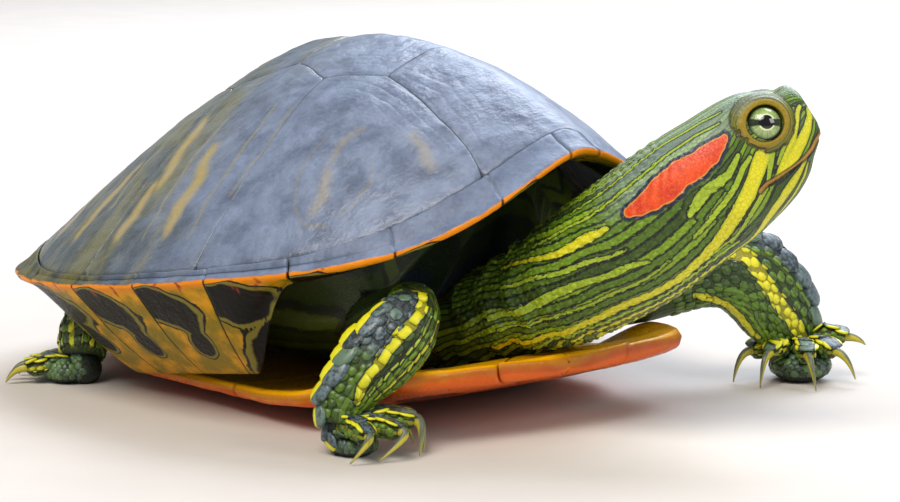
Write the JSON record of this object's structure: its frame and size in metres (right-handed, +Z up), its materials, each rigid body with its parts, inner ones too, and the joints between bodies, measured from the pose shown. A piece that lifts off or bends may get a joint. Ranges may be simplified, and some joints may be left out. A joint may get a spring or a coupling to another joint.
{
  "type": "red-eared slider turtle",
  "caption": "Life-size still model of a red-eared slider turtle standing with its neck stretched out and its head raised and turned to its left.",
  "frame": {"origin": "on the floor, under the middle of the whole turtle's box", "axes": "+X from tail to nose along the shell, +Y to the turtle's left, +Z up"},
  "size_m": [0.1696, 0.1312, 0.0672],
  "materials": {
    "carapace": "semi-gloss horn with a dusty bloom",
    "rim": "semi-gloss horn",
    "plastron": "semi-gloss horn",
    "skin": "damp scaly skin",
    "eye": "wet and glossy",
    "claw": "semi-gloss horn"
  },
  "bodies": {
    "root": {"abdominals": "plastron", "anals": "plastron", "claw_forefoot_left_1": "claw", "claw_forefoot_left_2": "claw", "claw_forefoot_left_3": "claw", "claw_forefoot_left_4": "claw", "claw_forefoot_left_5": "claw", "claw_forefoot_right_1": "claw", "claw_forefoot_right_2": "claw", "claw_forefoot_right_3": "claw", "claw_forefoot_right_4": "claw", "claw_forefoot_right_5": "claw", "claw_hindfoot_left_1": "claw", "claw_hindfoot_left_2": "claw", "claw_hindfoot_left_3": "claw", "claw_hindfoot_left_4": "claw", "claw_hindfoot_right_1": "claw", "claw_hindfoot_right_2": "claw", "claw_hindfoot_right_3": "claw", "claw_hindfoot_right_4": "claw", "costal_left_1": "carapace", "costal_left_2": "carapace", "costal_left_3": "carapace", "costal_left_4": "carapace", "costal_right_1": "carapace", "costal_right_2": "carapace", "costal_right_3": "carapace", "costal_right_4": "carapace", "eye_left": "eye", "eye_right": "eye", "femorals": "plastron", "forefoot_left": "skin", "forefoot_right": "skin", "foreleg_left": "skin", "foreleg_right": "skin", "gulars": "plastron", "head": "skin", "hindfoot_left": "skin", "hindfoot_right": "skin", "hindleg_left": "skin", "hindleg_right": "skin", "humerals": "plastron", "lower_jaw": "skin", "neck": "skin", "nuchal": "rim", "pectorals": "plastron", "rim_bridge_left": "rim", "rim_bridge_right": "rim", "rim_front_left": "rim", "rim_front_right": "rim", "rim_rear_left": "rim", "rim_rear_right": "rim", "tail": "skin", "trunk": "skin", "vertebral_1": "carapace", "vertebral_2": "carapace", "vertebral_3": "carapace", "vertebral_4": "carapace", "vertebral_5": "carapace"}
  },
  "joints": []
}
